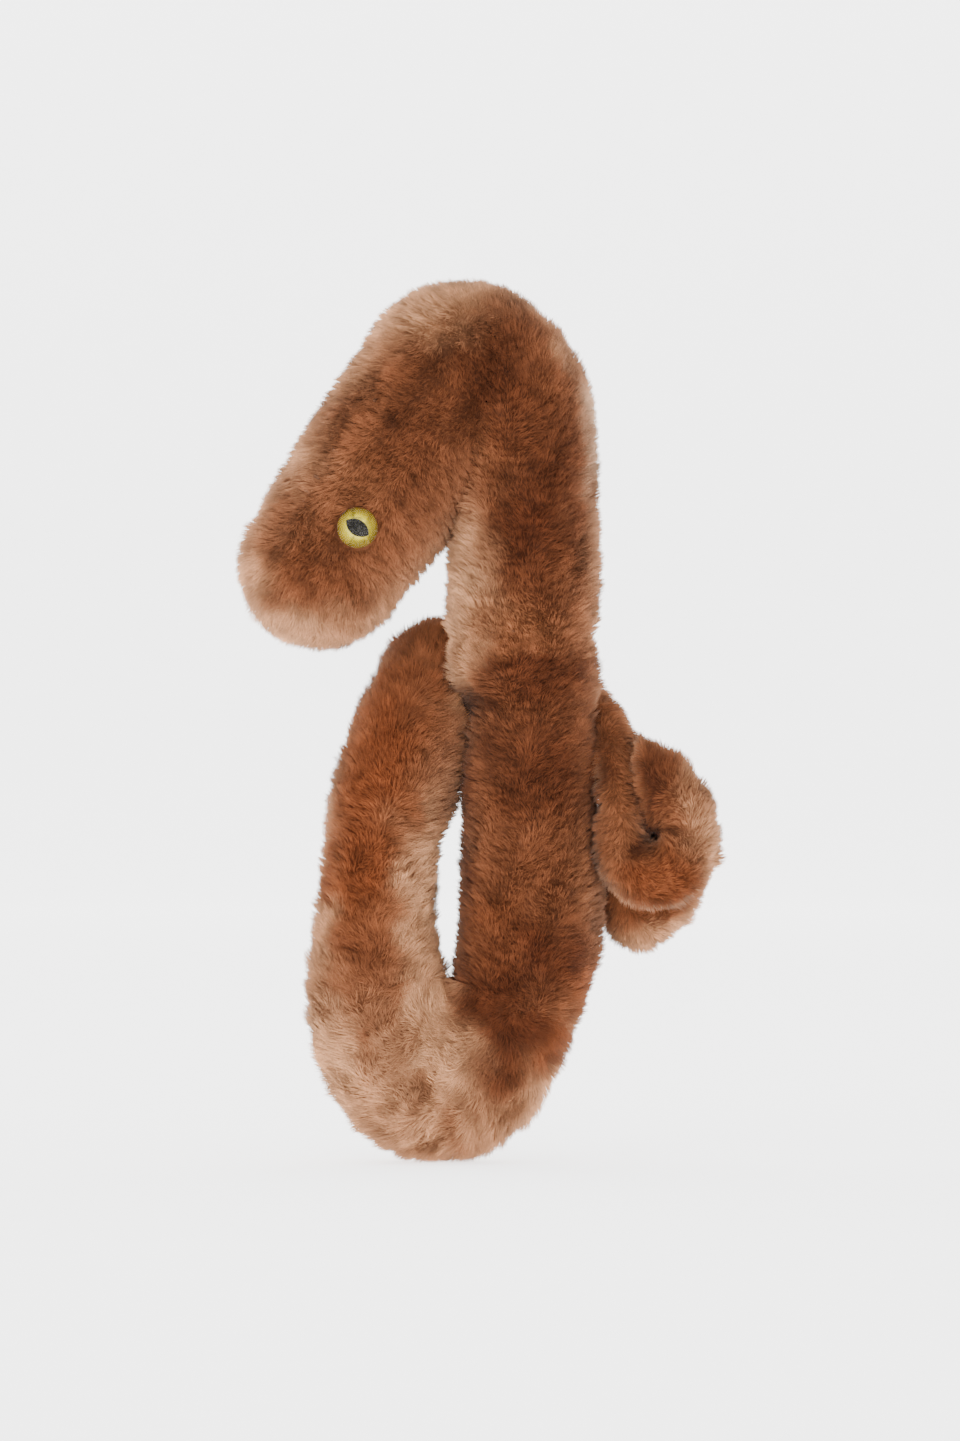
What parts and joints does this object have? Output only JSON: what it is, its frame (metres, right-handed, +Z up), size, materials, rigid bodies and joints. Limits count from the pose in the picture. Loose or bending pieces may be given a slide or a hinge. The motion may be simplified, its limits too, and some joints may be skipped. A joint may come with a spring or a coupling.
{
  "type": "plush microbe toy",
  "caption": "Crook-shaped plush microbe toy: hooked head with plastic eyes on a stuffed tube that folds at the foot, loops behind itself and ends in a curled tail.",
  "frame": {"origin": "centre of the small flat under the foot that the toy stands on", "axes": "+Z up along the neck and column, +X towards the side with the curled tail, -Y towards the viewer"},
  "size_m": [0.0964, 0.0473, 0.176],
  "materials": {
    "pile_brown": "short matted pile, red-brown with paler tips",
    "pile_tan": "short matted pile, tan-brown",
    "stuffing": "loose polyester fibre, hidden inside",
    "thread": "twisted sewing thread",
    "eye_clear": "clear glossy plastic dome",
    "eye_yellow": "glossy amber-yellow disc",
    "eye_black": "glossy black",
    "eye_washer": "matt white, hidden inside the head"
  },
  "bodies": {
    "loop": {"foot_front_panel": "pile_tan", "foot_back_panel": "pile_tan", "foot_stuffing": "stuffing", "loop_lower_front_panel": "pile_tan", "loop_lower_back_panel": "pile_tan", "loop_lower_stuffing": "stuffing", "loop_upper_front_panel": "pile_brown", "loop_upper_back_panel": "pile_brown", "loop_upper_stuffing": "stuffing"},
    "column": {"column_front_panel": "pile_brown", "column_back_panel": "pile_brown", "column_stuffing": "stuffing", "bridge_front_panel": "pile_brown", "bridge_back_panel": "pile_brown", "bridge_stuffing": "stuffing", "crossing_tack": "thread"},
    "neck": {"neck_front_panel": "pile_brown", "neck_back_panel": "pile_brown", "neck_stuffing": "stuffing", "waist_stitches": "thread"},
    "head": {"head_front_panel": "pile_brown", "head_back_panel": "pile_brown", "head_stuffing": "stuffing", "front_eye_dome": "eye_clear", "front_eye_iris": "eye_yellow", "front_eye_pupil": "eye_black", "front_eye_washer": "eye_washer", "back_eye_dome": "eye_clear", "back_eye_iris": "eye_yellow", "back_eye_pupil": "eye_black", "back_eye_washer": "eye_washer", "closing_stitches": "thread"},
    "curl": {"coil_front_panel": "pile_brown", "coil_back_panel": "pile_brown", "coil_stuffing": "stuffing", "tail_front_panel": "pile_brown", "tail_back_panel": "pile_brown", "tail_stuffing": "stuffing"}
  },
  "joints": [
    {"name": "column_swing", "type": "hinge", "parent": "loop", "child": "column", "pos_m": [0.018, 0, 0.0354], "axis": [-0.2615, 0.1486, 0.9537], "range_deg": [-8, 8], "stiffness_Nm_per_rad": 0.4},
    {"name": "neck_bend", "type": "hinge", "parent": "column", "child": "neck", "pos_m": [0.0184, 0, 0.0998], "axis": [1, 0, 0], "range_deg": [-5, 20], "stiffness_Nm_per_rad": 0.5},
    {"name": "head_nod", "type": "hinge", "parent": "neck", "child": "head", "pos_m": [0.005, 0, 0.1574], "axis": [0, 1, 0], "range_deg": [0, 30], "stiffness_Nm_per_rad": 0.3},
    {"name": "curl_swing", "type": "hinge", "parent": "column", "child": "curl", "pos_m": [0.0354, 0, 0.0804], "axis": [0, 0, 1], "range_deg": [-12, 12], "stiffness_Nm_per_rad": 0.05}
  ]
}
